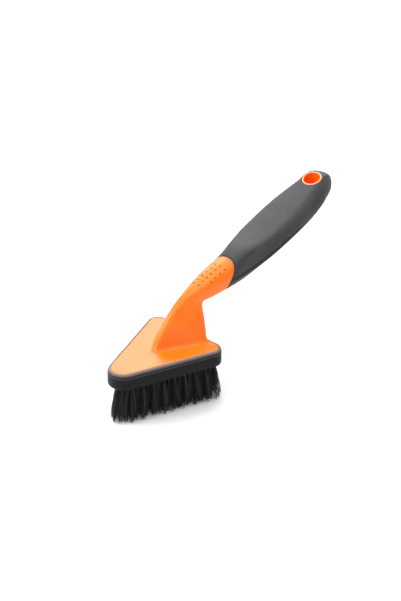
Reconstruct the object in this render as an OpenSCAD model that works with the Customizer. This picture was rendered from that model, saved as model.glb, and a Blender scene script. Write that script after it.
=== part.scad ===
// Hand brush for car wheels: a rounded-triangular head on a raised handle.
// +X runs along the handle away from the head's tip, +Z is up, and the
// bristle tips stand on z = 0. The origin is below the middle of the brush.

/* [Overall] */
// Length from the head's tip to the end of the grip
overall_l = 261; // [259:1:263]

/* [Head] */
// Length of the head, from its rounded tip to its straight heel
head_l = 91.5; // [90:0.5:93]
// Width of the head across its heel
head_w = 76; // [74:1:78]
// Corner radius at the head's tip
tip_r = 13; // [12:0.5:14]
// Corner radius at the two heel corners
heel_r = 9.5; // [8.5:0.5:10.5]
// Height of the soft bumper round the head
bumper_h = 14.4; // [13.8:0.2:15]
// Thickness of the bumper's wall
bumper_wall = 2.5; // [2.4:0.1:2.8]
// Height of the rounded bead along the top of the bumper
bead_h = 3.4; // [3:0.2:3.8]
// How far the plate's rim lies below the top of the bumper
rim_drop = 0.1; // [0:0.1:0.4]
// Thickness of the orange top plate at its rim
plate_t = 3.4; // [3:0.2:3.6]

/* [Bristles] */
// Free length of the bristles below the head
bristle_len = 32; // [28:1:36]
// Distance between tufts along a row
tuft_pitch = 9; // [8.6:0.1:9.4]
// Distance between rows
row_gap = 8.3; // [8:0.1:8.6]
// Diameter of a tuft hole
tuft_hole_d = 4.4; // [4:0.1:4.8]
// Depth of a tuft hole
tuft_hole_depth = 6.5; // [6:0.5:7]
// Clear margin from the head's edge to the outer tufts' centres
tuft_margin = 8.6; // [8.2:0.1:9]
// How much wider the tuft pattern is at the bristle tips
splay = 1.06; // [1.02:0.01:1.07]
// Diameter of a tuft at its cut end
tuft_tip_d = 7.6; // [6:0.1:8]

/* [Handle] */
// Height of the notch where the neck's back meets the underside
notch_z = 72; // [70:1:74]
// Wall of the soft grip round the orange core
grip_wall = 3.6; // [3:0.2:4]
// Distance from the head's tip to the start of the grip, along its top
grip_start = 132; // [131:0.5:133]
// How far the grip's front edge reaches forward under the neck
grip_rake = 13; // [12:0.5:14]

/* [Hanging hole] */
// Radius of the hanging hole
eye_r = 7; // [6.4:0.1:7.1]
// Wall of the orange ring round the hole
eye_wall = 1.3; // [1.2:0.1:1.6]
// Distance from the grip's end to the centre of the hole
eye_inset = 23; // [22.5:0.5:23.5]
// Tilt of the hole's axis back from vertical, in degrees
eye_tilt = 10; // [9:1:12]
// Slope of the ring's top face along the handle, in degrees
eye_slope = 18; // [17:1:19]
// How far the ring stands proud of the grip
eye_proud = 0.4; // [0.3:0.1:0.6]

/* [Hidden] */
$fn = 64;
gap = 0.05;                        // clearance of a piece pushed into its seat
bumper_z = bristle_len;            // underside of the bumper
head_top = bumper_z + bumper_h;    // top of the bumper's bead
rim_z = head_top - rim_drop;       // top of the plate at its rim
plate_z = rim_z - plate_t;         // underside of the plate
foot_lip_h = 1.2;                  // height of the bumper's inturned lower lip
foot_lip_w = 1.4;                  // how far that lip turns in under the block
block_z = bumper_z + foot_lip_h;   // underside of the block
block_h = plate_z - block_z;       // thickness of the block

// ---- head outline -------------------------------------------------------

// Corner centres, and the direction square to each straight side
tip_c = [tip_r, 0];
heel_c = [head_l - heel_r, head_w / 2 - heel_r];
side_run = heel_c - tip_c;
side_turn = atan2(side_run[1], side_run[0]) + acos((tip_r - heel_r) / norm(side_run));
side_n = [cos(side_turn), sin(side_turn)];

function flip(p) = [p[0], -p[1]];

// Points along an arc about c, from angle a0 to a1
function arc(c, r, a0, a1, n) =
    [for (i = [0 : n]) c + r * [cos(a0 + (a1 - a0) * i / n), sin(a0 + (a1 - a0) * i / n)]];

// The outline, drawn in by d all the way round
function head_outline(d) = concat(
    arc(heel_c, heel_r - d, side_turn, 0, 12),
    arc(flip(heel_c), heel_r - d, 0, -side_turn, 12),
    arc(tip_c, tip_r - d, -side_turn, side_turn - 360, 18));

// The outline, drawn in by d and raised from z by h
module slab(d, z, h) {
    translate([0, 0, z]) linear_extrude(h) polygon(head_outline(d));
}

// ---- lofts --------------------------------------------------------------

// Smooth curve through a list of stations; t runs from 0 to 1 over the list
function catmull(a, b, c, d, t) =
    0.5 * (2 * b + (c - a) * t + (2 * a - 5 * b + 4 * c - d) * t * t
        + (3 * b - a - 3 * c + d) * t * t * t);
function along(list, t) =
    let (n = len(list) - 1, i = min(floor(t * n), n - 1), f = t * n - i)
    catmull(list[max(i - 1, 0)], list[i], list[i + 1], list[min(i + 2, n)], f);

// One closed ring from a station [x_top, z_top, x_under, z_under, half_width, taper].
// outline holds [across, up] pairs from -1 to 1; a positive taper narrows the top.
function ring(s, outline) =
    let (mid = [(s[0] + s[2]) / 2, (s[1] + s[3]) / 2], up = [(s[0] - s[2]) / 2, (s[1] - s[3]) / 2])
    [for (p = outline)
        let (c = mid + up * p[1])
        [c[0], s[4] * p[0] * (1 - s[5] * p[1]), c[1]]];

// Skin over a list of rings, closed by flat ends or, as a loop, back on itself
module loft(rings, loop = false) {
    m = len(rings[0]);
    n = len(rings);
    points = [for (r = rings) each r];
    sides = [for (i = [0 : loop ? n - 1 : n - 2], j = [0 : m - 1])
        let (k = (i + 1) % n, a = i * m + j, b = i * m + (j + 1) % m, c = k * m + j, d = k * m + (j + 1) % m)
        each [[a, b, d], [a, d, c]]];
    first = [for (j = [m - 1 : -1 : 0]) j];
    last = [for (j = [0 : m - 1]) (n - 1) * m + j];
    polyhedron(points, loop ? sides : concat([first], sides, [last]));
}

// Rounded-square outline with k points
function superellipse(k, power) =
    [for (i = [0 : k - 1])
        let (a = 360 * (i + 0.5) / k)
        [sign(sin(a)) * pow(abs(sin(a)), 2 / power), sign(cos(a)) * pow(abs(cos(a)), 2 / power)]];

// ---- handle -------------------------------------------------------------

// Neck stations, from its flared foot on the plate to the start of the grip
NECK = [
    [39, plate_z + 1, head_l - 4, plate_z + 1, 22, 0.58],
    [43.6, rim_z + 0.2, head_l - 3, rim_z + 0.2, 19.4, 0.6],
    [48.9, rim_z + 3.7, head_l - 1.2, rim_z + 3.7, 16.8, 0.6],
    [54.2, rim_z + 10.2, 93, rim_z + 9.2, 13.8, 0.62],
    [60.7, 65, 94.8, 62.5, 10.6, 0.6],
    [69.2, 73.8, 97, notch_z - 2.2, 7.6, 0.48],
    [79.3, 80.2, 99.8, notch_z + 0.2, 7, 0.3],
    [91.5, 85, 104, notch_z + 0.1, 8, 0.15],
    [105, 89.5, 110.5, notch_z - 0.4, 9.5, 0.05],
    [119, 93.3, 116, notch_z - 0.4, 10.9, 0],
    [grip_start, 96, grip_start - grip_rake, notch_z - 0.1, 12.3, 0]
];

// A station drawn in by d on every side
function shrink(s, d) =
    let (up = [s[0] - s[2], s[1] - s[3]], u = up / norm(up))
    [s[0] - u[0] * d, s[1] - u[1] * d, s[2] + u[0] * d, s[3] + u[1] * d, s[4] - d, s[5]];

// Grip stations, from its start just proud of the neck to where the rounded end begins
neck_end = NECK[len(NECK) - 1];
grip_step = 0.4;
end_x = overall_l - 14;
GRIP = [
    shrink(neck_end, -grip_step),
    [145, 101.1, 138.5, 72, 13.4, 0],
    [159, 104.2, 157, 75.6, 13.8, 0],
    [175, 108.6, 178, 80.6, 14.6, 0],
    [191, 113.8, 198, 86.1, 14.8, 0],
    [206, 118.9, 215, 90.6, 14.1, 0],
    [219, 123.4, 230, 94.5, 12.4, 0],
    [232, 127.8, 239.5, 100, 11, 0.12],
    [end_x - 6.5, 130.3, end_x - 2, 103.8, 10, 0.2],
    [end_x, 131.1, end_x + 2, 107.2, 8.7, 0.2]
];

// Half of the grip's section at its start: nearly round, with a faint crease
START_HALF = [
    [0.3, 0.99], [0.5, 0.93], [0.66, 0.82], [0.84, 0.6], [0.955, 0.33], [1, 0.05],
    [0.985, -0.22], [0.87, -0.53], [0.66, -0.78], [0.36, -0.95]
];
// Further on: crowned top, crease, scooped flank, lower crease, rounded underside
GRIP_HALF = [
    [0.42, 0.99], [0.8, 0.96], [1, 0.9], [0.95, 0.7], [0.915, 0.42], [0.92, 0.1],
    [0.93, -0.2], [0.86, -0.5], [0.7, -0.74], [0.4, -0.94]
];
function both_sides(half) = concat([[0, 1]], half, [[0, -1]],
    [for (i = [len(half) - 1 : -1 : 0]) [-half[i][0], half[i][1]]]);
START_OUTLINE = both_sides(START_HALF);
GRIP_OUTLINE = both_sides(GRIP_HALF);

// The grip's section changes from the first to the second over this share of its length
settle = 0.3;
function grip_outline(t) =
    let (k = min(t / settle, 1), share = k * k * (3 - 2 * k))
    START_OUTLINE * (1 - share) + GRIP_OUTLINE * share;

// The neck's section: squarer at its foot, and nearly round where the grip starts
foot_power = 3.6;
start_power = 2.3;
round_from = 0.35;
function neck_outline(t) =
    let (share = max(t - round_from, 0) / (1 - round_from))
    superellipse(28, foot_power + (start_power - foot_power) * share);
CORE_OUTLINE = superellipse(20, 2.6);

// An outline part of the way, t, towards a plain ellipse
function rounder(outline, t) = [for (p = outline) p * (1 - t) + p / norm(p) * t];

// Rings that round off a loft beyond its last station, nearly a quarter turn
dome_turn = 86;
function dome(s, length, steps, outline) =
    let (mid = [s[0] + s[2], s[1] + s[3]] / 2, up = [s[0] - s[2], s[1] - s[3]] / 2,
        dir = [up[1], -up[0]] / norm(up))
    [for (k = [1 : steps])
        let (a = dome_turn * k / steps, c = mid + dir * length * sin(a) / sin(dome_turn), v = up * cos(a))
        ring([c[0] + v[0], c[1] + v[1], c[0] - v[0], c[1] - v[1], s[4] * cos(a), s[5]],
            rounder(outline, k / steps))];

end_station = GRIP[len(GRIP) - 1];
end_mid = [end_station[0] + end_station[2], end_station[1] + end_station[3]] / 2;
end_up = [end_station[0] - end_station[2], end_station[1] - end_station[3]] / 2;
end_dir = [end_up[1], -end_up[0]] / norm(end_up);
dome_l = (overall_l - end_mid[0]) / end_dir[0];
grip_steps = 20;
neck_steps = 24;
core_steps = 12;
dome_steps = 5;
core_root = 4;                     // how far the core starts back inside the neck
core_share = 0.9;                  // how much of the grip's length the core fills

module grip_body() {
    loft(concat(
        [for (k = [0 : grip_steps]) ring(along(GRIP, k / grip_steps), grip_outline(k / grip_steps))],
        dome(end_station, dome_l, dome_steps, GRIP_OUTLINE)));
}

// The core inside the grip, and the hollow it fills
module core_body() {
    core = [for (s = GRIP) shrink(s, grip_wall)];
    root = shrink(neck_end, grip_wall) - [core_root, 0, core_root, 0, 0, 0];
    loft(concat([ring(root, CORE_OUTLINE)],
        [for (k = [0 : core_steps]) ring(along(core, k / core_steps * core_share), CORE_OUTLINE)]));
}

module neck_body() {
    loft([for (k = [0 : neck_steps]) ring(along(NECK, k / neck_steps), neck_outline(k / neck_steps))]);
}

// Hanging hole: it starts on the grip's top line, and its axis tilts back towards the head
eye_x = overall_l - eye_inset;
eye_z = 129.7;
eye_through = 56;                  // long enough to pass through the grip at both ends
eye_top = 6;                       // how far its cylinders rise over the top line

module eye_cylinder(r) {
    translate([eye_x, 0, eye_z]) rotate([0, -eye_tilt, 0])
        translate([0, 0, eye_top - eye_through])
            cylinder(h = eye_through, r = r);
}

// The ring's upper part, from inside the grip to its sloping top face
module eye_ring_top() {
    r = eye_r + eye_wall;
    difference() {
        translate([eye_x, 0, eye_z]) rotate([0, -eye_tilt, 0])
            translate([0, 0, -eye_through / 4])
                cylinder(h = eye_through / 4 + eye_top, r = r);
        translate([eye_x, 0, eye_z]) rotate([0, -eye_slope, 0])
            translate([-2 * r, -2 * r, eye_proud])
                cube([4 * r, 4 * r, 2 * eye_top]);
    }
}

// ---- pieces, drawn from the head's tip ---------------------------------

module frame_solid() {
    difference() {
        union() {
            slab(bumper_wall + gap, plate_z, plate_t);
            neck_body();
            core_body();
            intersection() {
                eye_cylinder(eye_r + eye_wall);
                grip_body();
            }
            eye_ring_top();
        }
        eye_cylinder(eye_r);
    }
}

module centred() {
    translate([-overall_l / 2, 0, 0]) children();
}

module handle_frame() {
    color([1.0, 0.42, 0.1]) centred() frame_solid();
}

module grip() {
    color([0.3, 0.3, 0.31]) centred() difference() {
        grip_body();
        core_body();
        eye_cylinder(eye_r + eye_wall);
    }
}

// A quarter of an ellipse about c, from angle a0 to a1, as [inset, height] points
function quarter(c, rx, rz, a0, a1, n) =
    [for (i = [0 : n]) let (a = a0 + (a1 - a0) * i / n) c + [-rx * cos(a), rz * sin(a)]];

// The bumper's section: inner seat, rounded foot, wall, and the bead that rolls over the top
foot_r = 1.6;
bead_in = 0.15;                    // how far the bead lies inside the wall
seam_h = 0.5;                      // height of the step between the bead and the wall
bead_z = head_top - bead_h;        // underside of the bead
BUMPER_SECTION = concat(
    [[bumper_wall, head_top - 0.1], [bumper_wall, block_z], [bumper_wall + foot_lip_w, block_z],
        [bumper_wall + foot_lip_w, bumper_z]],
    quarter([foot_r, bumper_z + foot_r], foot_r, foot_r, -90, 0, 4),
    [[0, bead_z - seam_h], [2 * bead_in, bead_z - seam_h / 2]],
    quarter([bumper_wall - 0.1, bead_z], bumper_wall - 0.1 - bead_in, bead_h, 0, 90, 6));

module bumper() {
    color([0.09, 0.09, 0.1]) centred() loft(
        [for (p = BUMPER_SECTION) [for (q = head_outline(p[0])) [q[0], q[1], p[1]]]], true);
}

// ---- tufts --------------------------------------------------------------

// Tufts stand in rows that follow the head's outline, each row drawn in by d.
// A row starts on the centre line, goes round the tip and down one side to the
// heel corner, and is mirrored; the stretch along the heel closes it.
side_dir = [side_n[1], -side_n[0]];
function row_r(d) = max(tip_r - d, 0);
function row_arc(d) = row_r(d) * (180 - side_turn) * PI / 180;
function row_start(d) =
    d < tip_r ? tip_c + side_n * row_r(d) : [tip_r + (tip_r - d) / side_n[0], 0];
function row_corner(d) =
    let (x = head_l - d) [x, (tip_r - d - (x - tip_r) * side_n[0]) / side_n[1]];
function row_length(d) = row_arc(d) + norm(row_corner(d) - row_start(d));
function row_point(d, s) =
    let (a = 180 - s / max(row_r(d), 0.01) * 180 / PI)
    s < row_arc(d) ? tip_c + row_r(d) * [cos(a), sin(a)] : row_start(d) + side_dir * (s - row_arc(d));
function row(d) =
    let (n = round(row_length(d) / tuft_pitch), c = row_corner(d), m = round(2 * c[1] / tuft_pitch),
        side = [for (i = [0 : n]) row_point(d, row_length(d) * i / n)])
    concat(side, [for (i = [1 : n]) flip(side[i])],
        [for (i = [1 : 1 : m - 1]) [c[0], c[1] * (1 - 2 * i / m)]]);
TUFTS = [for (k = [0 : 2]) each row(tuft_margin + k * row_gap)];

tuft_z = block_z + tuft_hole_depth; // bottom of the tuft holes
root_d = tuft_hole_d - 2 * gap;    // diameter of a tuft in its hole
knuckle_r = root_d / 2 + 0.15;     // rounded bend of a tuft where it leaves its hole
knuckle_z = block_z - 1;           // centre of that bend
splay_c = [head_l * 0.6, 0];       // the pattern spreads from here
below = 4;                         // cone left over below the cut, before trimming
anchor_h = 2;                      // height of a staple
anchor_t = 0.4;                    // thickness of a staple
anchor_drop = 0.8;                 // from the bottom of the hole to the staple

function tuft_name(i) = str("tuft_", i < 9 ? "0" : "", i + 1);

// A tuft leans outward from its hole, and its cut end is flat on z = 0
module tuft(p) {
    foot = splay_c + (p - splay_c) * splay;
    lean = [p[0] - foot[0], p[1] - foot[1], knuckle_z];
    run = norm(lean);
    flare = (tuft_tip_d - root_d) / run;
    color([0.06, 0.06, 0.06]) centred() difference() {
        translate([p[0], p[1], knuckle_z]) {
            cylinder(h = tuft_z - gap - knuckle_z, d = root_d);
            sphere(knuckle_r);
            rotate([0, acos(lean[2] / run), atan2(lean[1], lean[0])])
                translate([0, 0, -run - below])
                    cylinder(h = run + below, d1 = tuft_tip_d + flare * below, d2 = root_d);
        }
        translate([foot[0] - tuft_tip_d, foot[1] - tuft_tip_d, -3 * below])
            cube([2 * tuft_tip_d, 2 * tuft_tip_d, 3 * below]);
        anchor(p, gap);
    }
}

// A thin metal staple across the hole, inside the fold of the tuft
module anchor(p, ease = 0) {
    translate([p[0], p[1], tuft_z - anchor_drop - anchor_h / 2])
        cube([root_d + 2 * ease, anchor_t + 2 * ease, anchor_h + 2 * ease], center = true);
}

module bristle_block() {
    color([0.07, 0.07, 0.07]) centred() difference() {
        slab(bumper_wall + gap, block_z, block_h - gap);
        for (p = TUFTS)
            translate([p[0], p[1], block_z - 1])
                cylinder(h = tuft_hole_depth + 1, d = tuft_hole_d);
    }
}

module tuft_anchors() {
    color([0.7, 0.7, 0.72]) centred() for (p = TUFTS) anchor(p);
}

handle_frame();
grip();
bumper();
bristle_block();
tuft_anchors();
for (i = [0 : len(TUFTS) - 1]) tuft(TUFTS[i]);
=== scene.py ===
import math
import random

import bmesh
import bpy
import numpy as np
from mathutils import Matrix, Vector
from mathutils.bvhtree import BVHTree


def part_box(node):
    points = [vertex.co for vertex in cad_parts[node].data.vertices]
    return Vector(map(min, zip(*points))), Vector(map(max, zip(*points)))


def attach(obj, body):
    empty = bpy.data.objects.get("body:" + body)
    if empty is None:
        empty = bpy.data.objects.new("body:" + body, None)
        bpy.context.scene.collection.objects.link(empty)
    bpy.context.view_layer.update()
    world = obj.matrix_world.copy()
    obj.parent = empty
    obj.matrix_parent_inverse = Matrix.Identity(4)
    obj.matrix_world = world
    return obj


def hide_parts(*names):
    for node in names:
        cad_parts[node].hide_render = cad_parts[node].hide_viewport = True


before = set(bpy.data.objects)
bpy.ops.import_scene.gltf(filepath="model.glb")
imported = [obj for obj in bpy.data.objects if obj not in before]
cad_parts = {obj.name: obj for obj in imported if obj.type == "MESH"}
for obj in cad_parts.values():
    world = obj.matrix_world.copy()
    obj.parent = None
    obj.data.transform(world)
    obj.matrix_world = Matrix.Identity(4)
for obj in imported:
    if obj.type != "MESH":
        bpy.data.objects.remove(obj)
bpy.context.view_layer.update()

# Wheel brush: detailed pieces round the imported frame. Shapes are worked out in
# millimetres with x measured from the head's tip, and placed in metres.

MM = 0.001


# ---- sizes read from the frame ------------------------------------------

def box_mm(node):
    low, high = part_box(node)
    return low / MM, high / MM


bumper_low, bumper_high = box_mm("bumper")
block_low, _ = box_mm("bristle_block")
frame_low, _ = box_mm("handle_frame")

TIP_X = bumper_low.x                      # the head's tip, in the frame
HEAD_L = bumper_high.x - bumper_low.x
HEAD_W = bumper_high.y - bumper_low.y
HEAD_TOP = bumper_high.z                  # top of the bumper's bead
HEAD_FOOT = bumper_low.z                  # underside of the bumper
BLOCK_Z = block_low.z                     # underside of the bristle block
PLATE_Z = frame_low.z                     # underside of the orange plate
PLATE_IN = frame_low.x - bumper_low.x     # from the head's outline in to the plate
OVERALL_L = -2 * TIP_X                    # from the tip to the grip's end

# Shape values that the boxes don't give
TIP_R = 13.0                              # corner radius at the head's tip
HEEL_R = 9.5                              # and at its two heel corners
GAP = 0.05                                # clearance of the plate in the bumper
WALL = PLATE_IN - GAP                     # thickness of the bumper's wall
BEAD_H = 3.4                              # height of the bead along the bumper's top
RIM_DROP = 0.1                            # from the bumper's top down to the plate's top
RIM_Z = HEAD_TOP - RIM_DROP
NOTCH_Z = 72.0                            # where the neck's back meets the handle's underside
GRIP_TOP_START = 133.4                    # start of the grip along its top
GRIP_RAKE = 16.4                          # how far its front edge reaches forward below
GRIP_STEP = 0.4                           # how far it stands proud of the neck
EYE_R = 7.0                               # radius of the hanging hole
EYE_WALL = 1.3                            # wall of the orange ring round it
EYE_TILT = math.radians(10)               # its axis leans back from vertical
EYE_SLOPE = math.radians(18)              # the ring's top face slopes along the handle
EYE_PROUD = 0.4                           # how far that face stands out of the grip
EYE_X = OVERALL_L - 23
EYE_Z = 129.7                             # height of the grip's top there


def ease(value):
    """Runs smoothly from 0 to 1 as value does, and stays there beyond."""
    value = np.clip(value, 0, 1)
    return value * value * (3 - 2 * value)



# ---- outline of the head ------------------------------------------------

tip_c = np.array([TIP_R, 0.0])
heel_c = np.array([HEAD_L - HEEL_R, HEAD_W / 2 - HEEL_R])
side_run = heel_c - tip_c
SIDE_TURN = math.atan2(side_run[1], side_run[0]) + math.acos(
    (TIP_R - HEEL_R) / np.hypot(*side_run))


def arc(centre, radius, start, end, steps):
    turns = np.linspace(start, end, steps + 1)
    return centre + radius * np.stack([np.cos(turns), np.sin(turns)], 1)


def straight(a, b, steps):
    """Points between a and b, without the two ends."""
    share = np.linspace(0, 1, steps + 1)[1:-1, None]
    return a + (b - a) * share


def head_outline(inset, corner_steps=26, side_steps=40):
    """The head's outline drawn in by inset, as a closed ring of points."""
    left = heel_c
    right = heel_c * [1, -1]
    heel_left = arc(left, HEEL_R - inset, SIDE_TURN, 0, corner_steps)
    heel_right = arc(right, HEEL_R - inset, 0, -SIDE_TURN, corner_steps)
    tip = arc(tip_c, TIP_R - inset, -SIDE_TURN, SIDE_TURN - 2 * math.pi, corner_steps)
    return np.concatenate([
        heel_left, straight(heel_left[-1], heel_right[0], side_steps),
        heel_right, straight(heel_right[-1], tip[0], side_steps),
        tip, straight(tip[-1], heel_left[0], side_steps)])


# ---- lofts --------------------------------------------------------------

def catmull(a, b, c, d, t):
    return 0.5 * (2 * b + (c - a) * t + (2 * a - 5 * b + 4 * c - d) * t * t
                  + (3 * b - a - 3 * c + d) * t ** 3)


def along(stations, t):
    """Smooth curve through the stations; t runs from 0 to 1 over the list."""
    last = len(stations) - 1
    i = min(int(t * last), last - 1)
    around = [stations[min(max(i + k, 0), last)] for k in (-1, 0, 1, 2)]
    return catmull(*(np.array(s, float) for s in around), t * last - i)


def ring(station, outline):
    """A closed ring from [x_top, z_top, x_under, z_under, half_width, taper]."""
    middle = (station[0:2] + station[2:4]) / 2
    up = (station[0:2] - station[2:4]) / 2
    across, height = outline[:, 0], outline[:, 1]
    return np.stack([middle[0] + up[0] * height,
                     station[4] * across * (1 - station[5] * height),
                     middle[1] + up[1] * height], 1)


def shrink(station, d):
    up = station[0:2] - station[2:4]
    up = up / np.hypot(*up) * d
    return np.array([*(station[0:2] - up), *(station[2:4] + up), station[4] - d, station[5]])


def resample(points, count, weight=None):
    """A closed ring of count points along the closed polyline, closer where weight is high."""
    closed = np.concatenate([points, points[:1]])
    steps = np.linalg.norm(np.diff(closed, axis=0), axis=1)
    if weight is not None:
        steps = steps * weight((closed[1:] + closed[:-1]) / 2)
    run = np.concatenate([[0], np.cumsum(steps)])
    at = np.linspace(0, run[-1], count, endpoint=False)
    return np.stack([np.interp(at, run, closed[:, k]) for k in range(2)], 1)


def superellipse(count, power):
    turn = np.linspace(0, 2 * math.pi, count, endpoint=False)
    s, c = np.sin(turn), np.cos(turn)
    return np.stack([np.sign(s) * abs(s) ** (2 / power), np.sign(c) * abs(c) ** (2 / power)], 1)


def skin(rings, cap_first=True, cap_last=True):
    """Quads over a list of rings, with their ends closed."""
    count = len(rings[0])
    faces = []
    for i in range(len(rings) - 1):
        a, b = i * count, (i + 1) * count
        faces += [(a + j, a + (j + 1) % count, b + (j + 1) % count, b + j) for j in range(count)]
    if cap_first:
        faces.append(tuple(reversed(range(count))))
    if cap_last:
        faces.append(tuple(range((len(rings) - 1) * count, len(rings) * count)))
    return np.concatenate(rings), faces


def mesh_object(name, points, faces, material, slot, sharp=None, smooth=True):
    """A mesh from points in millimetres from the head's tip, riding on the brush."""
    mesh = bpy.data.meshes.new(name)
    places = (np.asarray(points, float) + [TIP_X, 0, 0]) * MM
    mesh.from_pydata(places.tolist(), [], faces)
    mesh.validate()
    obj = bpy.data.objects.new(name, mesh)
    bpy.context.scene.collection.objects.link(obj)
    mesh.materials.append(material)
    face_out(mesh)
    mesh.polygons.foreach_set("use_smooth", [smooth] * len(mesh.polygons))
    if sharp is not None:
        mesh.set_sharp_from_angle(angle=math.radians(sharp))
    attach(obj, "root")
    return obj


def face_out(mesh):
    """Turns the faces of closed shells outward."""
    work = bmesh.new()
    work.from_mesh(mesh)
    bmesh.ops.recalc_face_normals(work, faces=work.faces)
    work.to_mesh(mesh)
    work.free()
    mesh.update()


# ---- materials ----------------------------------------------------------

class Paint:
    """A Principled material, with short calls for the nodes that give it detail."""

    def __init__(self, name, color, roughness, specular=0.5, **sockets):
        self.material = bpy.data.materials.new(name)
        self.material.use_nodes = True
        self.tree = self.material.node_tree
        self.shader = self.tree.nodes["Principled BSDF"]
        self.shader.inputs["Base Color"].default_value = (*color, 1)
        self.shader.inputs["Roughness"].default_value = roughness
        self.shader.inputs["Specular IOR Level"].default_value = specular
        for socket, value in sockets.items():
            self.shader.inputs[socket.replace("_", " ")].default_value = value
        self.coords = self.node("ShaderNodeTexCoord").outputs["Object"]

    def node(self, kind, **values):
        made = self.tree.nodes.new(kind)
        for key, value in values.items():
            setattr(made, key, value)
        return made

    def stretched(self, scale):
        made = self.node("ShaderNodeMapping")
        made.inputs["Scale"].default_value = scale
        self.tree.links.new(self.coords, made.inputs["Vector"])
        return made.outputs["Vector"]

    def noise(self, size_mm, detail=3.0, vector=None):
        """Noise whose features are about size_mm across."""
        made = self.node("ShaderNodeTexNoise")
        made.inputs["Scale"].default_value = 1 / (size_mm * MM)
        made.inputs["Detail"].default_value = detail
        self.tree.links.new(vector or self.coords, made.inputs["Vector"])
        return made.outputs["Fac"]

    def cells(self, size_mm):
        made = self.node("ShaderNodeTexVoronoi", feature="SMOOTH_F1")
        made.inputs["Scale"].default_value = 1 / (size_mm * MM)
        self.tree.links.new(self.coords, made.inputs["Vector"])
        return made.outputs["Distance"]

    def span(self, value, low, high, from_low=0.3, from_high=0.7):
        """Carries value's range over to low..high."""
        made = self.node("ShaderNodeMapRange")
        for socket, number in (("From Min", from_low), ("From Max", from_high),
                               ("To Min", low), ("To Max", high)):
            made.inputs[socket].default_value = number
        self.tree.links.new(value, made.inputs["Value"])
        return made.outputs["Result"]

    def blend(self, value, first, second):
        """A colour between first and second by value."""
        made = self.node("ShaderNodeMix", data_type="RGBA")
        for socket, item in ((6, first), (7, second)):
            if isinstance(item, tuple):
                made.inputs[socket].default_value = (*item, 1)
            else:
                self.tree.links.new(item, made.inputs[socket])
        self.tree.links.new(value, made.inputs[0])
        return made.outputs[2]

    def add(self, a, b, operation="ADD"):
        made = self.node("ShaderNodeMath", operation=operation)
        for socket, item in ((0, a), (1, b)):
            if isinstance(item, (int, float)):
                made.inputs[socket].default_value = item
            else:
                self.tree.links.new(item, made.inputs[socket])
        return made.outputs[0]

    def bump(self, height, depth_mm, strength=1.0):
        made = self.node("ShaderNodeBump")
        made.inputs["Distance"].default_value = depth_mm * MM
        made.inputs["Strength"].default_value = strength
        self.tree.links.new(height, made.inputs["Height"])
        self.tree.links.new(made.outputs["Normal"], self.shader.inputs["Normal"])

    def facing_up(self, low, high):
        """0 where the surface leans to low or under, 1 where it faces up by high or more."""
        geometry = self.node("ShaderNodeNewGeometry")
        parts = self.node("ShaderNodeSeparateXYZ")
        self.tree.links.new(geometry.outputs["Normal"], parts.inputs["Vector"])
        return self.span(parts.outputs["Z"], 0.0, 1.0, low, high)

    def edges(self, low, high):
        """1 on the mesh's convex edges, 0 on its flats."""
        geometry = self.node("ShaderNodeNewGeometry")
        return self.span(geometry.outputs["Pointiness"], 0.0, 1.0, low, high)

    def feed(self, output, socket):
        self.tree.links.new(output, self.shader.inputs[socket])


def orange_plastic(name="orange_plastic", top_highlight=0.0):
    """Glossy moulded polypropylene: faint flow marks and fine scratches; convex edges painted paler,
    part wear and part painted highlight; upward faces painted paler as a painted highlight when that
    share is given.
    """
    paint = Paint(name, (0.95, 0.175, 0.003), 0.3, 0.34)
    flow = paint.noise(22, 2, paint.stretched((1, 2.2, 1.6)))
    fine = paint.noise(0.45, 4)
    scratch = paint.noise(1.1, 6, paint.stretched((0.12, 1, 1)))
    tone = paint.blend(paint.span(flow, 0.0, 1.0), (0.93, 0.158, 0.002), (0.97, 0.188, 0.004))
    # Convex edges painted paler: part wear, part painted highlight.
    wear_and_highlights = paint.blend(paint.add(paint.edges(0.53, 0.62), 0.3, "MULTIPLY"), tone, (1.0, 0.36, 0.14))
    if top_highlight:
        # Upward faces painted paler by the given share: a painted highlight.
        top = paint.add(paint.facing_up(0.45, 0.9), top_highlight, "MULTIPLY")
        wear_and_highlights = paint.blend(top, wear_and_highlights, (1.0, 0.72, 0.5))
    paint.feed(wear_and_highlights, "Base Color")
    paint.feed(paint.span(scratch, 0.26, 0.4), "Roughness")
    paint.bump(paint.add(fine, paint.add(scratch, 0.5, "MULTIPLY")), 0.012, 0.55)
    return paint.material


def grip_rubber():
    """Soft-touch grip: fine pebbled skin of cloudy tone, painted darker where it faces sideways or down
    as painted shade.
    """
    paint = Paint("grip_rubber", (0.045, 0.043, 0.046), 0.55, 0.26)
    pebble = paint.cells(0.42)
    grain = paint.noise(0.9, 5)
    cloud = paint.noise(16, 3)
    toplit_tone = paint.blend(paint.span(cloud, 0.0, 1.0), (0.043, 0.0405, 0.0445), (0.052, 0.05, 0.053))
    # Upward faces keep the cloudy grey; sideways and downward faces are painted darker: painted shade.
    tone = paint.blend(paint.facing_up(-0.35, 0.75), (0.022, 0.0213, 0.0225), toplit_tone)
    paint.feed(tone, "Base Color")
    paint.feed(paint.span(grain, 0.47, 0.62), "Roughness")
    paint.bump(paint.add(pebble, paint.add(grain, 0.6, "MULTIPLY")), 0.035, 0.6)
    return paint.material


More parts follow.
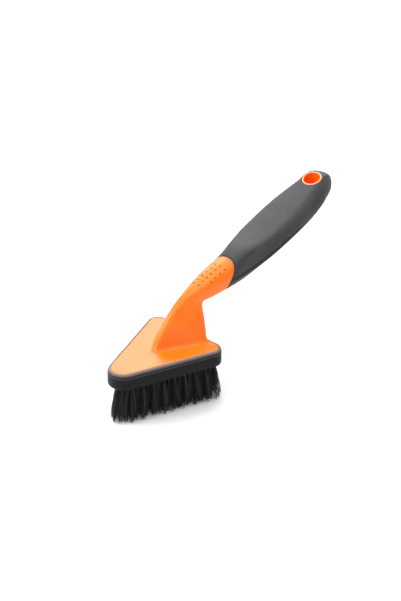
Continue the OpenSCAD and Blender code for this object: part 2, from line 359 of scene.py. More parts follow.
def bumper_rubber():
    """Dense black rubber with a satin skin: its bead and other upward faces painted pale as a painted
    highlight, its edges painted a little paler as part wear, part painted highlight.
    """
    paint = Paint("bumper_rubber", (0.009, 0.009, 0.0095), 0.42, 0.12)
    grain = paint.noise(0.5, 5)
    cloud = paint.noise(11, 4)
    tone = paint.blend(paint.span(cloud, 0.0, 1.0), (0.0038, 0.004, 0.0044), (0.0065, 0.007, 0.0074))
    # Upward faces, the bead above all, painted pale grey: a painted highlight.
    toplit_tone = paint.blend(paint.facing_up(0.12, 0.85), tone, (0.25, 0.207, 0.197))
    # Convex edges painted a little paler: part wear, part painted highlight.
    wear_and_highlights = paint.blend(paint.add(paint.edges(0.51, 0.58), 0.12, "MULTIPLY"), toplit_tone, (0.09, 0.086, 0.086))
    paint.feed(wear_and_highlights, "Base Color")
    paint.feed(paint.span(cloud, 0.34, 0.48), "Roughness")
    paint.bump(grain, 0.02, 0.5)
    return paint.material


def black_plastic():
    """The bristle block: matte black moulding with a spark-eroded texture."""
    paint = Paint("black_plastic", (0.016, 0.016, 0.017), 0.55, 0.4)
    grain = paint.noise(0.35, 4)
    cloud = paint.noise(9, 3)
    paint.feed(paint.blend(paint.span(cloud, 0.0, 1.0), (0.012, 0.012, 0.013), (0.02, 0.02, 0.021)),
               "Base Color")
    paint.feed(paint.span(grain, 0.48, 0.64), "Roughness")
    paint.bump(grain, 0.02, 0.6)
    return paint.material


def bristle_nylon():
    """Drawn black filament: its tone changes from one filament to the next."""
    paint = Paint("bristle", (0.012, 0.012, 0.012), 0.45, 0.25)
    each = paint.noise(0.5, 1, paint.stretched((1, 1, 0.05)))
    length = paint.noise(2.5, 3, paint.stretched((1, 1, 0.6)))
    paint.feed(paint.blend(paint.span(each, 0.0, 1.0, 0.35, 0.7), (0.005, 0.005, 0.005),
                           (0.03, 0.03, 0.031)), "Base Color")
    paint.feed(paint.span(length, 0.34, 0.52), "Roughness")
    paint.bump(paint.noise(0.12, 2, paint.stretched((1, 1, 0.2))), 0.01, 0.4)
    return paint.material


def staple_steel():
    """Flat drawn wire with lengthwise draw marks."""
    paint = Paint("staple_steel", (0.55, 0.55, 0.57), 0.32, 0.5, Metallic=1.0)
    lines = paint.noise(0.15, 3, paint.stretched((0.05, 1, 1)))
    paint.feed(paint.blend(paint.span(lines, 0.0, 1.0), (0.48, 0.48, 0.5), (0.62, 0.62, 0.64)),
               "Base Color")
    paint.feed(paint.span(lines, 0.25, 0.4), "Roughness")
    paint.bump(lines, 0.004, 0.5)
    return paint.material


ORANGE = orange_plastic()
# The eye ring's plastic, with its upward faces painted paler as a painted highlight.
ORANGE_RIM = orange_plastic("orange_rim", top_highlight=0.65)
GRIP_RUBBER = grip_rubber()
BUMPER_RUBBER = bumper_rubber()
BRISTLE = bristle_nylon()

# ---- neck and plate -----------------------------------------------------

# Stations from its foot on the plate to the grip: [x_top, z_top, x_under, z_under, half_width, taper]
NECK = [
    [46.5, PLATE_Z + 1, HEAD_L - 4, PLATE_Z + 1, 14.8, 0.8],
    [47.8, RIM_Z + 0.2, HEAD_L - 2.6, RIM_Z + 0.2, 14.1, 0.8],
    [49.8, RIM_Z + 3.7, HEAD_L - 1.2, RIM_Z + 3.7, 13.0, 0.77],
    [53.4, RIM_Z + 10.2, 93, RIM_Z + 9.2, 12.4, 0.7],
    [60.1, 65.3, 95, 62.5, 11.1, 0.6],
    [68.8, 74.1, 97.1, NOTCH_Z - 2.2, 8, 0.48],
    [79.1, 80.4, 99.8, NOTCH_Z + 0.2, 7.2, 0.3],
    [91.3, 85.2, 103, NOTCH_Z - 0.3, 8.3, 0.13],
    [105, 89.6, 108, NOTCH_Z - 0.9, 9.9, 0.03],
    [119, 93.4, 112.6, NOTCH_Z - 0.9, 11.3, 0],
    [GRIP_TOP_START, 96.3, GRIP_TOP_START - GRIP_RAKE, NOTCH_Z - 0.5, 12.4, 0],
]
FOOT_T = 0.1                              # where along NECK its foot meets the plate's top
NECK_POINTS = 320                         # round one ring of the neck
TOP_DENSITY = 2.6                         # how much closer those points lie across its top
# Stretches of the neck, as (the station each runs to, its rings); the third holds the dimples
NECK_STRETCHES = [(3.5, 40), (7.2, 30), (9.35, 130), (9.9, 8)]
FOOT_POWER = 6                            # squareness of the neck's section at its foot
NECK_POWER = 3.3                          # part way up
START_POWER = 2.3                         # and where the grip starts
FOOT_RUN = 0.3                            # share of the neck over which the first becomes the second
ROUND_FROM = 0.35                         # where along the neck it starts to grow rounder
NOSE_SOFTENING = 20                       # points over which the foot's front is rounded
NOSE_KEPT = 0.25                          # share of that left above the foot
FILLET = 4.2                              # radius of the fillet beside the neck's foot
FRONT_FILLET = 0.55                       # its share of that in front of the foot
FILLET_SMOOTHING = 30                     # passes that even out its width round the foot
RIM_EASE = 0.02                           # the plate's rim lies this far inside the CAD plate's
RIM_ROUND = 0.7                           # rounding of that rim
END_ROUND = 0.8                           # rounding of the neck's end against the grip

# Rows of dimples over the neck's top, as (distance off the middle, slope of the surface there,
# the places along the neck that they fill)
DIMPLE_COLUMNS = [96.4, 101.1, 105.9, 110.9, 116.4, 121.8]
DIMPLE_ROWS = [(2.6, math.radians(8), DIMPLE_COLUMNS), (7.5, math.radians(42), DIMPLE_COLUMNS[2:])]
DIMPLE_R = 0.95
DIMPLE_DEPTH = 1.7
DIMPLES_ABOVE = NOTCH_Z + 8               # keeps them off the neck's underside


def neck_outline(t):
    """The neck's section, squarer at its foot, with points closer together across its top."""
    power = NECK_POWER + (START_POWER - NECK_POWER) * max(t - ROUND_FROM, 0) / (1 - ROUND_FROM)
    up = min(max((t - FOOT_T) / FOOT_RUN, 0), 1)
    power = FOOT_POWER + (power - FOOT_POWER) * ease(up)
    outline = resample(superellipse(1600, power), NECK_POINTS,
                       lambda middle: np.where(middle[:, 1] > 0.45, TOP_DENSITY, 1.0))
    reach = NOSE_SOFTENING * (1 - (1 - NOSE_KEPT) * up)
    steps = np.arange(-3 * NOSE_SOFTENING, 3 * NOSE_SOFTENING + 1)
    weights = np.exp(-(steps / reach) ** 2 / 2)
    soft = sum(w * np.roll(outline, k, axis=0) for k, w in zip(steps, weights)) / weights.sum()
    return outline + (soft - outline) * ease((outline[:, 1:] - 0.15) / 0.5)


def neck_ts():
    """Places along the neck, closer together where the dimples are."""
    ts = [FOOT_T]
    for station, rings in NECK_STRETCHES:
        ts += list(np.linspace(ts[-1], station / (len(NECK) - 1), rings)[1:])
    return ts


def plate_reach(directions, centre, inset):
    """Where rays from centre meet the head's outline drawn in by inset."""
    outline = head_outline(inset)
    nxt = np.roll(outline, -1, axis=0)
    edge = nxt - outline
    hits = []
    for d in directions:
        cross = d[0] * edge[:, 1] - d[1] * edge[:, 0]
        cross = np.where(abs(cross) < 1e-12, 1e-12, cross)
        w = outline - centre
        reach = (w[:, 0] * edge[:, 1] - w[:, 1] * edge[:, 0]) / cross
        share = (w[:, 0] * d[1] - w[:, 1] * d[0]) / cross
        good = (reach > 0) & (share >= -1e-9) & (share <= 1 + 1e-9)
        hits.append(reach[good].max())
    return np.array(hits)


def build_frame():
    outline = neck_outline(FOOT_T)
    foot = ring(along(NECK, FOOT_T), outline)
    centre = foot[:, :2].mean(0)
    spokes = foot[:, :2] - centre
    foot_run = np.linalg.norm(spokes, axis=1)
    spokes = spokes / foot_run[:, None]
    rim_run = plate_reach(spokes, centre, PLATE_IN + RIM_EASE)
    room = rim_run - foot_run
    rim_round = np.minimum(RIM_ROUND, room * 0.3)
    # How far the fillet spreads over the plate from each point of the foot
    front = ease((-spokes[:, 0] + 0.2) / 1.1)
    spread = np.minimum(FILLET * (1 - (1 - FRONT_FILLET) * front), (room - rim_round) * 0.95)
    spread = smooth_ring(spread, FILLET_SMOOTHING)

    def plate_ring(run, z):
        flat = centre + spokes * run[:, None]
        return np.stack([flat[:, 0], flat[:, 1], np.broadcast_to(z, len(run))], 1)

    # Under the plate, up its side, and over its rounded rim
    rings = [plate_ring(rim_run * 0.9, PLATE_Z), plate_ring(rim_run, PLATE_Z)]
    for turn in np.linspace(0, math.pi / 2, 8):
        pull = rim_round * (1 - math.cos(turn))
        rings.append(plate_ring(rim_run - pull, RIM_Z - rim_round * (1 - math.sin(turn))))
    # Over the plate's flat top, and up the neck with a fillet round its foot
    for share in np.linspace(0, 1, 12)[1:-1]:
        run = rim_run - rim_round + (foot_run + spread - rim_run + rim_round) * share
        rings.append(plate_ring(run, RIM_Z))
    for t in neck_ts():
        points = ring(along(NECK, t), neck_outline(t))
        height = np.clip((points[:, 2] - RIM_Z) / FILLET, 0, 1)
        out = spread * (1 - np.sqrt(1 - (1 - height) ** 2))
        points[:, :2] += spokes * out[:, None]
        rings.append(dimpled(points))
    # A rounded end against the grip, then out of sight inside it
    last, outline = along(NECK, 1), neck_outline(1)
    for turn in np.linspace(0, math.pi / 2, 7):
        back = END_ROUND * (1 - math.sin(turn))
        station = shrink(last, END_ROUND * (1 - math.cos(turn)))
        rings.append(ring(station - [back, 0, back, 0, 0, 0], outline))
    for on in (0.2, 3):
        rings.append(ring(shrink(last, 2) + [on, 0, on, 0, 0, 0], outline))
    return skin(rings)


def dimpled(points):
    """Presses the dimples into the part of a ring that lies on the neck's top."""
    out = points.copy()
    for row, slope, columns in DIMPLE_ROWS:
        for x in columns:
            for side in (1, -1):
                across = (points[:, 1] - side * row) / math.cos(slope)
                away = ((points[:, 0] - x) ** 2 + across ** 2) / DIMPLE_R ** 2
                near = (away < 1) & (points[:, 2] > DIMPLES_ABOVE)
                deep = DIMPLE_DEPTH * (1 - away[near] ** 2)
                out[near, 1] -= side * deep * math.sin(slope)
                out[near, 2] -= deep * math.cos(slope)
    return out


# ---- grip ---------------------------------------------------------------

END_X = OVERALL_L - 14
GRIP = [
    shrink(np.array(NECK[-1], float), -GRIP_STEP),
    [145, 101.1, 138, 72, 13.4, 0],
    [159, 104.2, 157, 75.6, 13.8, 0],
    [175, 108.6, 178, 80.6, 14.6, 0],
    [191, 113.8, 198, 86.1, 14.8, 0],
    [206, 118.9, 215, 90.6, 14.1, 0],
    [219, 123.4, 230, 94.5, 12.4, 0],
    [232, 128, 239.5, 100, 11.4, 0.12],
    [END_X - 6.5, 131, END_X - 2, 103.8, 10.7, 0.17],
    [END_X, 132.2, END_X + 2, 107, 9.6, 0.15],
]
# Half of the grip's section at its start, nearly round, and further on: crowned top,
# crease, scooped flank, lower crease, underside
START_HALF = [[0, 1], [0.3, 0.99], [0.5, 0.93], [0.66, 0.82], [0.82, 0.6], [0.935, 0.33],
              [0.985, 0.05], [0.985, -0.22], [0.87, -0.53], [0.66, -0.78], [0.36, -0.95], [0, -1]]
GRIP_HALF = [[0, 1], [0.42, 0.99], [0.8, 0.965], [1, 0.9], [0.905, 0.75], [0.86, 0.52], [0.875, 0.2],
             [0.935, -0.16], [0.915, -0.5], [0.72, -0.74], [0.4, -0.94], [0, -1]]
# Fuller flanks round the hanging hole
END_HALF = [[0, 1], [0.42, 0.995], [0.8, 0.98], [1, 0.92], [0.99, 0.72], [0.975, 0.46], [0.98, 0.16],
            [0.97, -0.2], [0.9, -0.5], [0.72, -0.74], [0.4, -0.94], [0, -1]]
SETTLE = 0.3                              # share of the grip over which the first becomes the second
FILL_FROM, FILL_TO = 0.68, 0.9            # and over which the second becomes the third
CREASE = 3                                # the corner between the top and the flank
GROOVE_DEPTH = 0.085                      # of the half width
GROOVE_HEIGHT = -0.12                     # where the groove lies in the first section
GROOVE_FALL = 0.18                        # and how much lower in the second
GROOVE_END = 0.62                         # how far along the grip the groove runs
GROOVE_FADE = 0.25                        # share of the grip over which it dies out
GRIP_RINGS = 200
END_RINGS = 60                            # rings smoothed lengthwise at the end
TIP_RINGS = 8                             # the last of the dome, which is left as it is
END_SMOOTHING = 90                        # passes over them
GRIP_ROUND = 0.9                          # rounding of the grip's front edge
DOME_RINGS = 26
DOME_TURN = math.radians(86)              # how far the dome closes before its flat cap


def smooth_half(half):
    """A half section as a dense line with its crease kept."""
    line = []
    for part, steps in ((half[:CREASE + 1], 40), (half[CREASE:], 130)):
        line += [along(part, t) for t in np.linspace(0, 1, steps, endpoint=False)]
    return soften(np.array(line + [half[-1]]), 3)


def grip_outline(t, groove=0.0):
    """The section at t as a closed ring; groove is the depth of the flank's lower groove."""
    share = ease(t / SETTLE)
    full = ease((t - FILL_FROM) / (FILL_TO - FILL_FROM))
    half = (SMOOTH_START * (1 - share) + SMOOTH_GRIP * share) * (1 - full) + SMOOTH_END * full
    off = half[:, 1] - (GROOVE_HEIGHT - GROOVE_FALL * share)
    # The groove, and a slight swell below it
    dip = np.exp(-(off / 0.055) ** 2) - 0.5 * np.exp(-((off + 0.14) / 0.06) ** 2)
    half[:, 0] = np.minimum(half[:, 0] - groove * dip * (half[:, 0] > 0.4), 1)
    mirrored = half[1:-1][::-1] * [-1, 1]
    return np.concatenate([half, mirrored])


def soften(line, times):
    """Rounds the corners of an open line a little, with its ends kept."""
    for _ in range(times):
        line[1:-1] = (line[:-2] + 2 * line[1:-1] + line[2:]) / 4
    return line


SMOOTH_START = smooth_half(START_HALF)
SMOOTH_GRIP = smooth_half(GRIP_HALF)
SMOOTH_END = smooth_half(END_HALF)


def rounder(outline, t):
    """The outline as it is at 0, and a circle at 1."""
    return outline * (1 - t) + outline / np.linalg.norm(outline, axis=1)[:, None] * t


def build_grip():
    start = along(GRIP, 0)
    # The face against the neck, and its rounded edge
    rings = [ring(shrink(start, 2.4), grip_outline(0))]
    for turn in np.linspace(0, math.pi / 2, 8):
        back = GRIP_ROUND * (1 - math.sin(turn))
        on = GRIP_ROUND * (1 - math.cos(turn))
        rings.append(ring(shrink(start, back) + [on, 0, on, 0, 0, 0], grip_outline(0, GROOVE_DEPTH)))
    for t in np.linspace(0.012, 1, GRIP_RINGS):
        fade = min(max((GROOVE_END - t) / GROOVE_FADE, 0), 1)
        rings.append(ring(along(GRIP, t), grip_outline(t, GROOVE_DEPTH * fade)))
    rings += dome(along(GRIP, 1), grip_outline(1))
    return skin([seated(points) for points in run_together(rings)])


def run_together(rings):
    """Smooths the grip's end lengthwise, so that the dome takes up its slopes without a crease."""
    points = np.array(rings)
    first, last = len(rings) - END_RINGS, len(rings) - TIP_RINGS
    for _ in range(END_SMOOTHING):
        before, after = points[first - 1:last - 1], points[first + 1:last + 1]
        points[first:last] = (before + 2 * points[first:last] + after) / 4
    return list(points)


def dome(station, outline):
    """Rings that round off the grip beyond its last station."""
    middle = (station[0:2] + station[2:4]) / 2
    up = (station[0:2] - station[2:4]) / 2
    onward = np.array([up[1], -up[0]]) / np.hypot(*up)
    length = (OVERALL_L - middle[0]) / onward[0]
    rings = []
    for k in range(1, DOME_RINGS + 1):
        turn = DOME_TURN * k / DOME_RINGS
        centre = middle + onward * length * math.sin(turn) / math.sin(DOME_TURN)
        lift = up * math.cos(turn)
        rings.append(ring(np.array([*(centre + lift), *(centre - lift),
                                    station[4] * math.cos(turn), station[5]]),
                          rounder(outline, k / DOME_RINGS)))
    return rings


# ---- hanging hole -------------------------------------------------------

eye_axis = np.array([-math.sin(EYE_TILT), 0, math.cos(EYE_TILT)])
eye_u = np.array([math.cos(EYE_TILT), 0, math.sin(EYE_TILT)])
eye_v = np.array([0.0, 1.0, 0.0])
eye_top = np.array([EYE_X, 0, EYE_Z])
EYE_LIP = 0.3                             # how far the ring's lower end stands out of the grip
EYE_POINTS = 120                          # round one ring of it
SEAT_REACH = 3.2                          # how far the grip's seat for the ring runs out
SEAT_DROP = 0.3                           # how far the seat lies below the ring's face
SEAT_PULL = 0.9                           # share of the way that the grip is drawn to it
SEAT_DEPTH = 4.5                          # the grip is left alone this far below the ring's face
SEAT_FADE = 3.5                           # and drawn in fully this much above that


def face_height(away, turn):
    """Height of the ring's sloping face along the axis, away from it towards turn."""
    lean = EYE_SLOPE - EYE_TILT
    return (EYE_PROUD + away * np.cos(turn) * math.sin(lean)) / math.cos(lean)


def seated(points):
    """Raises or lowers the grip's top round the ring until it lies just below its face."""
    off = points - eye_top
    height = off @ eye_axis
    across, out = off @ eye_v, off @ eye_u
    away = np.hypot(out, across)
    near = ease(1 - (away - EYE_R - EYE_WALL) / SEAT_REACH)
    near = near * np.clip((height + SEAT_DEPTH) / SEAT_FADE, 0, 1)
    target = face_height(away, np.arctan2(across, out)) - SEAT_DROP
    return points + eye_axis * ((target - height) * near * SEAT_PULL)[:, None]


def eye_ring_points(radius, heights, turns):
    """Points round the hole's axis, one for each turn, at the heights given."""
    return np.array([eye_top + eye_axis * h + radius * (eye_u * math.cos(a) + eye_v * math.sin(a))
                     for h, a in zip(heights, turns)])


def eye_cutter():
    """A round bar along the hole's axis, just inside the ring's outer wall."""
    turns = np.linspace(0, 2 * math.pi, 96, endpoint=False)
    radius = EYE_R + EYE_WALL - 0.1
    rings = [eye_ring_points(radius, [h] * len(turns), turns) for h in (-40, 12)]
    return skin(rings)


def cut(obj, cutter):
    """Takes cutter's shape out of obj's mesh for good."""
    modifier = obj.modifiers.new("cut", "BOOLEAN")
    modifier.operation = "DIFFERENCE"
    modifier.solver = "EXACT"
    modifier.object = cutter
    bpy.context.view_layer.update()
    graph = bpy.context.evaluated_depsgraph_get()
    made = bpy.data.meshes.new_from_object(obj.evaluated_get(graph))
    obj.modifiers.remove(modifier)
    obj.data = made
    bpy.data.objects.remove(cutter)


def build_eye(surface):
    """The orange ring: a sloping face just proud of the grip, and a flush lower end."""
    turns = np.linspace(0, 2 * math.pi, EYE_POINTS, endpoint=False)
    outer, inner = EYE_R + EYE_WALL, EYE_R
    under = []
    for a in turns:
        side = eye_top + (outer + 0.05) * (eye_u * math.cos(a) + eye_v * math.sin(a))
        under.append(hit_height(surface, side, -45))
    under = smooth_ring(np.array(under)) - EYE_LIP
    lip = EYE_WALL / 2
    rings = []
    # Up the outside, over the rounded rim, down the hole, and round its lower edge
    for turn in np.linspace(0, math.pi, 15):
        radius = inner + lip + lip * math.cos(turn)
        rings.append(eye_ring_points(radius, face_height(radius, turns) - lip * (1 - math.sin(turn)),
                                     turns))
    top = face_height(inner, turns) - lip
    for share in np.linspace(0, 1, 12)[1:-1]:
        rings.append(eye_ring_points(inner, top + (under + lip - top) * share, turns))
    for turn in np.linspace(math.pi, 0, 15):
        radius = inner + lip + lip * math.cos(turn)
        rings.append(eye_ring_points(radius, under + lip * (1 - math.sin(turn)), turns))
    points, faces = skin(rings, False, False)
    return points, faces + closing_faces(len(rings), len(turns))


def closing_faces(rings, count):
    """Quads from the last ring back to the first."""
    last = (rings - 1) * count
    return [(last + j, last + (j + 1) % count, (j + 1) % count, j) for j in range(count)]


def hit_height(surface, side, start):
    """Height along the hole's axis where a line up beside it from start meets the grip."""
    _, _, _, run = surface.ray_cast(Vector(side + eye_axis * start), Vector(eye_axis))
    return start + run


def smooth_ring(values, times=6):
    """Evens out values that go round a closed ring."""
    for _ in range(times):
        values = (np.roll(values, 1) + 2 * values + np.roll(values, -1)) / 4
    return values


# ---- bumper -------------------------------------------------------------

FOOT_R = 1.8                              # rounding of the bumper's lower edge
FOOT_LIP = 1.4                            # how far the bumper turns in under the block
FOOT_EDGE = 0.4                           # chamfer of that lip
SEAM = 0.5                                # height of the seam below the bead
SEAM_IN = 0.24                            # depth of the seam
BEAD_IN = 0.17                            # how far in from the wall's face the bead starts


def bumper_profile():
    """The bumper's section as [inset from the head's outline, height], once round."""
    bead_z = HEAD_TOP - BEAD_H
    points = [[WALL, PLATE_Z + 0.5], [WALL, BLOCK_Z], [WALL + FOOT_LIP, BLOCK_Z],
              [WALL + FOOT_LIP, HEAD_FOOT + FOOT_EDGE], [WALL + FOOT_LIP - FOOT_EDGE, HEAD_FOOT]]

    def bend(centre_inset, centre_z, across, height, start, end, steps):
        for turn in np.radians(np.linspace(start, end, steps)):
            points.append([centre_inset - across * math.cos(turn),
                           centre_z + height * math.sin(turn)])

    bend(FOOT_R, HEAD_FOOT + FOOT_R, FOOT_R, FOOT_R, -84, 0, 10)
    points.append([0.0, HEAD_FOOT + 4.5])
    points.append([0.0, bead_z - SEAM - 0.5])
    points.append([0.03, bead_z - SEAM - 0.1])
    points.append([SEAM_IN, bead_z - SEAM / 2])
    points.append([BEAD_IN, bead_z - 0.1])
    bend(WALL - 0.05, bead_z, WALL - BEAD_IN, BEAD_H, 2, 90, 22)
    points.append([WALL, HEAD_TOP - 0.3])
    return points


def build_bumper():
    rings = []
    for inset, z in bumper_profile():
        flat = head_outline(inset)
        rings.append(np.column_stack([flat, np.full(len(flat), z)]))
    points, faces = skin(rings, False, False)
    return points, faces + closing_faces(len(rings), len(rings[0]))


# ---- bristles -----------------------------------------------------------

FILAMENTS = 140                           # in one tuft
FILAMENT_R = 0.18
FILAMENT_SIDES = 3
FILAMENT_RINGS = 8
TAPER = 0.25                              # share of its radius that a filament loses to its tip
GOLDEN = 2.39996                          # turn from one filament to the next
ROOT_DEPTH = 2                            # how far up in its hole a tuft starts
ROOT_R = 2.05                             # radius of a tuft in its hole
TIP_R_MAX = 7.4                           # radius of a tuft at its cut end
DRIFT = 0.45                              # how far a tuft's end strays from its place
CLUMPS = 9                                # points that one tuft's end frays into
CLUMP_LIFT = 1.6                          # how much shorter one point may be than another
GATHER = 0.42                             # how far a point's filaments draw together
CRIMP = 0.26                              # how far a filament waves off its line
TIP_INSET = 0.25                          # the tips stay this far inside the head's outline
FLARE = 3.2                               # and their tops this much further
HEEL_DRAW = 4.5                           # and this much more at the heel
LENGTH_BEND = 66                          # how a leaning filament's end rises: run squared over this
LOWEST_TIP, HIGHEST_TIP = 0.02, 4.2


def tuft_ends(node):
    """A tuft's centre in its hole and at its cut end, from its CAD node."""
    places = np.array([v.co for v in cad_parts[node].data.vertices]) / MM
    root = places[places[:, 2] > BLOCK_Z + 1]
    foot = places[places[:, 2] < 0.5]
    middle = lambda p: (p.min(0) + p.max(0)) / 2 - [TIP_X, 0, 0]
    return middle(root)[:2], middle(foot)[:2]


def inside_head(x, y, inset, heel_inset):
    """Pulls a point in until it is inset from the head's outline."""
    reach = TIP_R - inset
    side_x, side_y = math.cos(SIDE_TURN), math.sin(SIDE_TURN)
    for _ in range(2):
        over = (x - TIP_R) * side_x + abs(y) * side_y - reach
        if over > 0:
            x -= over * side_x
            y -= math.copysign(over * side_y, y)
        x = min(x, HEAD_L - heel_inset)
        y = math.copysign(min(abs(y), HEAD_W / 2 - inset), y)
        away = math.hypot(x - TIP_R, y)
        if x < TIP_R and away > reach:
            x = TIP_R + (x - TIP_R) / away * reach
            y = y / away * reach
    return x, y


def frayed_points(rng):
    """The points that a tuft's end frays into, as (x, y, lift) from the tuft's middle."""
    points = []
    for k in range(CLUMPS):
        out = TIP_R_MAX * math.sqrt((k + 0.5) / CLUMPS) * rng.uniform(0.85, 1.1)
        turn = k * GOLDEN + rng.uniform(-0.4, 0.4)
        points.append((out * math.cos(turn), out * math.sin(turn), rng.uniform(0, CLUMP_LIFT)))
    return points


def filament_rings(i, root, foot, clumps, rng):
    """Triangles along one filament of a tuft, from its hole down to its cut end."""
    share = math.sqrt((i + 0.5) / FILAMENTS)
    turn = i * GOLDEN + rng.uniform(-0.3, 0.3)
    spoke = (math.cos(turn), math.sin(turn))
    start = [root[a] + spoke[a] * share * (ROOT_R - FILAMENT_R) for a in (0, 1)]
    # Its own end, and the frayed point that draws it in
    out = TIP_R_MAX * share ** 0.85 * rng.uniform(0.75, 1.12)
    own = [out * spoke[a] + rng.gauss(0, 0.3) for a in (0, 1)]
    clump = min(clumps, key=lambda c: math.hypot(c[0] - own[0], c[1] - own[1]))
    run = [foot[a] + own[a] - start[a] for a in (0, 1)]
    pull = [(clump[a] - own[a]) * GATHER for a in (0, 1)]
    rise = (run[0] ** 2 + run[1] ** 2) / LENGTH_BEND
    end_z = min(max(rise + clump[2] + rng.expovariate(1.8) - 0.4, LOWEST_TIP), HIGHEST_TIP)
    # Its wave
    wave_turn = rng.uniform(0, 2 * math.pi)
    wave_size = CRIMP * rng.uniform(0.5, 1.3)
    wave = (wave_size * math.cos(wave_turn), wave_size * math.sin(wave_turn))
    phase, pace = rng.uniform(0, 2 * math.pi), rng.uniform(2.4, 3.8)
    top_z = BLOCK_Z + ROOT_DEPTH
    points = []
    for k in range(FILAMENT_RINGS):
        t = k / (FILAMENT_RINGS - 1)
        swing = math.sin(phase + 2 * math.pi * pace * t) * min(1, 3 * t) * (1 - 0.3 * t)
        flat = [start[a] + run[a] * t ** 0.8 + pull[a] * t ** 3 + wave[a] * swing for a in (0, 1)]
        inset = TIP_INSET + FLARE * (1 - t)
        x, y = inside_head(flat[0], flat[1], inset, inset + HEEL_DRAW * (1 - t))
        z = top_z + (end_z - top_z) * t
        radius = FILAMENT_R * (1 - TAPER * t)
        for side in range(FILAMENT_SIDES):
            corner = 2 * math.pi * side / FILAMENT_SIDES + turn
            points.append([x + radius * math.cos(corner), y + radius * math.sin(corner), z])
    return points


def build_tuft(node, rng):
    root, foot = tuft_ends(node)
    foot = foot + [rng.gauss(0, DRIFT), rng.gauss(0, DRIFT)]
    clumps = frayed_points(rng)
    points, faces = [], []
    for i in range(FILAMENTS):
        base = len(points)
        points += filament_rings(i, root, foot, clumps, rng)
        for k in range(FILAMENT_RINGS - 1):
            a = base + k * FILAMENT_SIDES
            faces += [(a + j, a + (j + 1) % FILAMENT_SIDES,
                       a + FILAMENT_SIDES + (j + 1) % FILAMENT_SIDES, a + FILAMENT_SIDES + j)
                      for j in range(FILAMENT_SIDES)]
        end_ring = base + (FILAMENT_RINGS - 1) * FILAMENT_SIDES
        faces.append(tuple(range(base, base + FILAMENT_SIDES)))
        faces.append(tuple(range(end_ring, end_ring + FILAMENT_SIDES)))
    return points, faces


# ---- assembly -----------------------------------------------------------

body = mesh_object("Handle_Frame", *build_frame(), ORANGE, "orange_plastic", sharp=50)
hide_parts("handle_frame")

grip_points, grip_faces = build_grip()
grip = mesh_object("Soft_Grip", grip_points, grip_faces, GRIP_RUBBER, "grip_rubber")
grip_surface = BVHTree.FromPolygons([tuple(p) for p in grip_points], grip_faces)
cut(grip, mesh_object("cutter", *eye_cutter(), GRIP_RUBBER, "grip_rubber"))
grip.data.set_sharp_from_angle(angle=math.radians(40))
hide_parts("grip")

eye = mesh_object("Hanging_Eye", *build_eye(grip_surface), ORANGE_RIM, "orange_plastic")
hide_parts("handle_frame")

bumper = mesh_object("Head_Bumper", *build_bumper(), BUMPER_RUBBER, "bumper_rubber", sharp=45)
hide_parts("bumper")

rng = random.Random(20)
for node in sorted(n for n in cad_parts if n.startswith("tuft_") and n != "tuft_anchors"):
    tuft = mesh_object("Bristles_" + node[-2:], *build_tuft(node, rng), BRISTLE, "bristle",
                       smooth=False)
    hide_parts(node)

for node, material in (("bristle_block", black_plastic()), ("tuft_anchors", staple_steel())):
    for slot in range(len(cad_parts[node].material_slots)):
        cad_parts[node].material_slots[slot].material = material

# ---- floor, light and camera --------------------------------------------

def floor_paint():
    paint = Paint("floor_paper", (0.93, 0.93, 0.93), 0.9, 0.1)
    cloud = paint.noise(300, 2)
    paint.feed(paint.blend(paint.span(cloud, 0.0, 1.0), (0.925, 0.925, 0.925), (0.935, 0.935, 0.935)),
               "Base Color")
    return paint.material


FLOOR_HALF = 2.4
floor_mesh = bpy.data.meshes.new("Floor")
floor_mesh.from_pydata([(-FLOOR_HALF, -FLOOR_HALF, 0), (FLOOR_HALF, -FLOOR_HALF, 0),
                        (FLOOR_HALF, FLOOR_HALF, 0), (-FLOOR_HALF, FLOOR_HALF, 0)],
                       [], [(0, 1, 2, 3)])
floor_mesh.materials.append(floor_paint())
floor = bpy.data.objects.new("Floor", floor_mesh)
bpy.context.scene.collection.objects.link(floor)


def direction(azimuth, elevation):
    """Unit vector from the brush towards that side; azimuth 0 is -Y, 90 is +X."""
    a, e = math.radians(azimuth), math.radians(elevation)
    return Vector((math.sin(a) * math.cos(e), -math.cos(a) * math.cos(e), math.sin(e)))


def area_light(name, azimuth, elevation, distance, width, height, radiance, color=(1, 1, 1)):
    """A soft box aimed at the brush, set by how bright its face is."""
    light = bpy.data.lights.new(name, "AREA")
    light.shape = "RECTANGLE"
    light.size, light.size_y = width, height
    light.energy = radiance * math.pi * width * height
    light.color = color
    lamp = bpy.data.objects.new(name, light)
    towards = direction(azimuth, elevation)
    lamp.location = AIM + towards * distance
    lamp.rotation_euler = towards.to_track_quat("Z", "Y").to_euler()
    bpy.context.scene.collection.objects.link(lamp)


CAMERA_AZIMUTH = -48.13
CAMERA_ELEVATION = 30.32
CAMERA_ROLL = 0.98
CAMERA_DISTANCE = 1.614
CAMERA_LENS = 120
AIM = Vector(((TIP_X + 102.39) * MM, 0, 68.48 * MM))

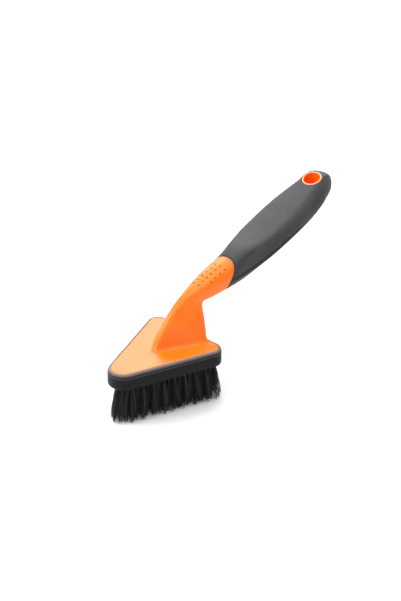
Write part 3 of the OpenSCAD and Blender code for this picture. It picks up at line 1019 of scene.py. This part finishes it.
area_light("Top_Softbox", 0, 86, 1.3, 1.5, 1.5, 2.4)
area_light("Back_Softbox", CAMERA_AZIMUTH + 180, 34, 1.4, 1.3, 0.7, 6.0)
area_light("Left_Softbox", CAMERA_AZIMUTH - 80, 38, 1.3, 1.0, 0.9, 5.4)
area_light("Front_Fill", CAMERA_AZIMUTH + 35, 25, 1.6, 1.2, 1.0, 0.25)

world = bpy.data.worlds.new("Studio")
world.use_nodes = True
sky = world.node_tree.nodes["Background"]
sky.inputs["Color"].default_value = (1, 1, 1, 1)
# Pale studio walls: brighter near the horizon than overhead
sky_direction = world.node_tree.nodes.new("ShaderNodeTexCoord")
sky_parts = world.node_tree.nodes.new("ShaderNodeSeparateXYZ")
walls = world.node_tree.nodes.new("ShaderNodeMapRange")
for socket, number in (("From Min", 0.24), ("From Max", 0.4), ("To Min", 0.85), ("To Max", 0.2)):
    walls.inputs[socket].default_value = number
world.node_tree.links.new(sky_direction.outputs["Generated"], sky_parts.inputs["Vector"])
world.node_tree.links.new(sky_parts.outputs["Z"], walls.inputs["Value"])
world.node_tree.links.new(walls.outputs["Result"], sky.inputs["Strength"])
bpy.context.scene.world = world
bpy.context.scene.view_settings.view_transform = "Standard"

camera_data = bpy.data.cameras.new("Camera")
camera_data.lens = CAMERA_LENS
camera_data.sensor_width = 36
camera_data.clip_end = 50
camera = bpy.data.objects.new("Camera", camera_data)
back = direction(CAMERA_AZIMUTH, CAMERA_ELEVATION)
level = Vector((math.cos(math.radians(CAMERA_AZIMUTH)), math.sin(math.radians(CAMERA_AZIMUTH)), 0))
turn = Matrix.Rotation(math.radians(CAMERA_ROLL), 3, back)
right, up = turn @ level, turn @ back.cross(level)
# The brush sits a little right of and below the picture's middle
seat = AIM - right * 0.53 * MM + up * 0.4 * MM + back * CAMERA_DISTANCE
camera.matrix_world = Matrix.Translation(seat) @ Matrix((right, up, back)).transposed().to_4x4()
bpy.context.scene.collection.objects.link(camera)
bpy.context.scene.camera = camera

bpy.context.view_layer.update()
